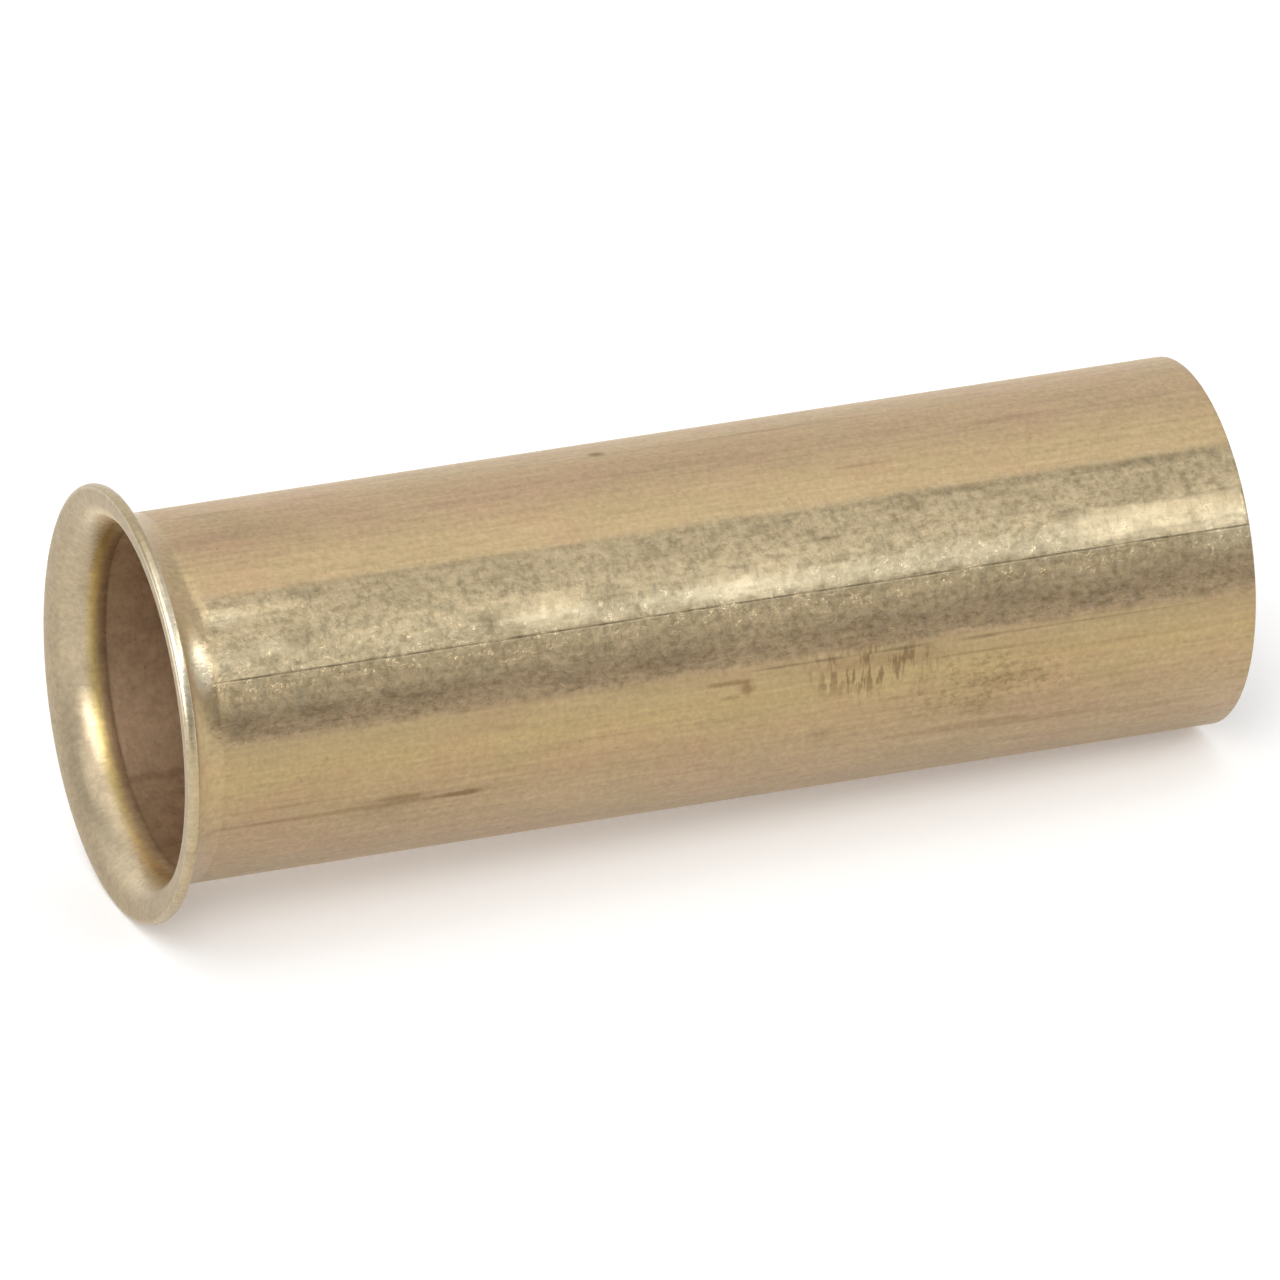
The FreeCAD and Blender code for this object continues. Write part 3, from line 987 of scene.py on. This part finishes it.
def brass():
    """Base colour is the zones' colour times the shade, and the grain's bump is the normal."""
    material = bpy.data.materials.new("drawn_brass")
    material.use_nodes = True
    shader = material.node_tree.nodes["Principled BSDF"].inputs
    finish = Finish(material.node_tree)
    graph = finish.graph
    past_neck = past_the_neck(finish)
    band = dressed_band(finish, past_neck)
    nick, seam = nick_mask(finish, band), seam_mask(finish, past_neck)
    # The worn rim and the rubbed neck are smoother metal, and in colour they are painted highlights.
    worn, rubbed = worn_rim_and_highlight(finish), rubbed_neck_and_highlight(finish)

    colour = mouth_colour(finish, outside_colour(finish, band), worn, rubbed)
    level = shade(finish, nick, seam)
    grey = graph.add("CombineColor", {0: level, 1: level, 2: level}).outputs[0]
    graph.feed(shader["Base Color"], graph.mix(1.0, colour, grey, "MULTIPLY"))
    shader["Metallic"].default_value = 1.0
    graph.feed(shader["Roughness"], roughness(finish, band, nick, worn, rubbed))
    bump = graph.add("Bump", {"Height": relief(finish, band, nick), "Distance": GRAIN_DEPTH,
                              "Strength": 1.0})
    graph.feed(shader["Normal"], bump.outputs[0])
    return material


tube.data.materials.append(brass())
print("brass:", len(tube.data.materials[0].node_tree.nodes), "nodes")

# %% [markdown]
# ## The floor
#
# A tube with a flare doesn't lie level: it rests on the rim at one end and on the cut end at the
# other. The floor is a broad pale sheet through both lowest points, so that the shadow meets the
# metal where the tube really touches. It glows faintly, which keeps it plain and pale all over.

# %% Floor
FLOOR_RADIUS = 3200.0
RIM_MIDDLE = FACE + WALL / 2          # where along the tube the rim's crown is widest


def floor():
    """A disc in the plane through the lowest point of the flare and the lowest of the cut end."""
    slope = (RIM - OUTSIDE) / (CUT - RIM_MIDDLE)
    angle = np.linspace(0, 2 * math.pi, 97)[:-1]
    x, y = FLOOR_RADIUS * np.cos(angle), FLOOR_RADIUS * np.sin(angle)
    z = -RIM + slope * (x - RIM_MIDDLE)
    mesh = bpy.data.meshes.new("floor")
    mesh.from_pydata(np.stack([x, y, z], 1) * MM, [], [list(range(len(angle)))])
    material = bpy.data.materials.new("floor_paper")
    material.use_nodes = True
    shader = material.node_tree.nodes["Principled BSDF"]
    shader.inputs["Base Color"].default_value = (0.9, 0.9, 0.9, 1)
    shader.inputs["Roughness"].default_value = 0.9
    shader.inputs["Specular IOR Level"].default_value = 0.1
    shader.inputs["Emission Color"].default_value = (1, 1, 1, 1)
    shader.inputs["Emission Strength"].default_value = 0.22
    mesh.materials.append(material)
    piece = bpy.data.objects.new("floor", mesh)
    bpy.context.scene.collection.objects.link(piece)
    print("floor: rises %.2f degrees towards the cut end" % math.degrees(math.atan(slope)))


floor()

# %% [markdown]
# ## The light
#
# A small shiny thing shows its surroundings, so the studio is broad, pale and even. A long, narrow
# soft box above the camera draws the bright line beside the seam and over the rim. An upright one
# towards the mouth lights the inside of the flare, and two more, high at that side and overhead,
# soften the top. The sky is dimmer low down on the camera's side, and brighter towards the mouth.

# %% Soft boxes


def soft_box(name, azimuth, elevation, distance, width, height, radiance):
    """An area light that faces the tube. Its power is its radiance times its area times pi."""
    data = bpy.data.lights.new(name, "AREA")
    data.shape = "RECTANGLE"
    data.size, data.size_y = width, height
    data.energy = radiance * width * height * math.pi
    lamp = bpy.data.objects.new(name, data)
    a, e = math.radians(azimuth), math.radians(elevation)
    back = Vector((math.sin(a) * math.cos(e), -math.cos(a) * math.cos(e), math.sin(e)))
    lamp.location = back * distance
    lamp.rotation_euler = (-back).to_track_quat("-Z", "Y").to_euler()
    lamp.visible_camera = False
    bpy.context.scene.collection.objects.link(lamp)
    print("soft box %s: %.2f by %.2f m, %.2f W" % (name, width, height, data.energy))


# degrees round from -Y and up, metres away, metres wide and high, radiance
soft_box("key", 22, 42, 0.7, 1.6, 0.085, 2.6)
soft_box("side", -29, 37, 0.7, 0.23, 0.56, 3.7)
soft_box("high side", -72, 56, 0.9, 0.5, 0.65, 0.75)
soft_box("overhead", 180, 80, 1.0, 0.9, 0.7, 0.5)

# %% Sky


def sky():
    """Dim near the horizon on the camera's side, pale elsewhere, and plain to the camera."""
    world = bpy.data.worlds.new("studio")
    bpy.context.scene.world = world
    world.use_nodes = True
    graph = Graph(world.node_tree)
    background = world.node_tree.nodes["Background"]
    direction = graph.add("SeparateXYZ", {0: graph.add("TexCoord").outputs["Generated"]}).outputs
    front = graph.ramp(direction[1], 0.3, -0.9)
    low_down = graph.ramp(direction[2], 0.75, 0.1)
    dim = graph.product(front, low_down, graph.ramp(direction[0], -0.5, 0.1))
    behind = graph.product(graph.ramp(direction[1], 0.2, 0.95), 0.4)
    beside = graph.product(graph.ramp(direction[0], -0.25, -0.6), 0.35, front)
    level = graph.math("ADD", graph.math("ADD", behind, beside),
                       graph.ramp(dim, 0.0, 1.0, 0.62, 0.33))
    light = graph.add("LightPath").outputs["Is Camera Ray"]
    shown = graph.add("Mix", {0: light, 2: level, 3: 1.0}, data_type="FLOAT").outputs[0]
    background.inputs["Color"].default_value = (1, 1, 1, 1)
    graph.feed(background.inputs["Strength"], shown)
    print("sky:", len(world.node_tree.nodes), "nodes")


sky()

# %% [markdown]
# ## The camera
#
# A small product is shot from well back with a long lens, because a near one would make the mouth
# look far larger than the cut end. The camera stands a little to the flare's side and looks down
# by about 25 degrees, at a point a millimetre or so from the tube's middle.

# %% Camera


def camera():
    """Stands back from the tube with a long lens, so that the tube hardly narrows."""
    azimuth, elevation = math.radians(-20.2), math.radians(24.84)
    distance, across, raised = 1977.6, -0.953, -1.215      # millimetres back, right and up
    back = Vector((math.sin(azimuth) * math.cos(elevation),
                   -math.cos(azimuth) * math.cos(elevation), math.sin(elevation)))
    right = Vector((math.cos(azimuth), math.sin(azimuth), 0))
    up = back.cross(right)
    data = bpy.data.cameras.new("camera")
    data.lens, data.sensor_width = 817.6, 36.0
    eye = bpy.data.objects.new("camera", data)
    eye.location = (right * across + up * raised + back * distance) * MM
    eye.rotation_euler = (-back).to_track_quat("-Z", "Y").to_euler()
    bpy.context.scene.collection.objects.link(eye)
    bpy.context.scene.camera = eye
    print("camera: %.0f mm lens, %.2f m away" % (data.lens, distance * MM))


camera()
bpy.context.scene.view_settings.view_transform = "Standard"
bpy.context.scene.view_settings.look = "None"
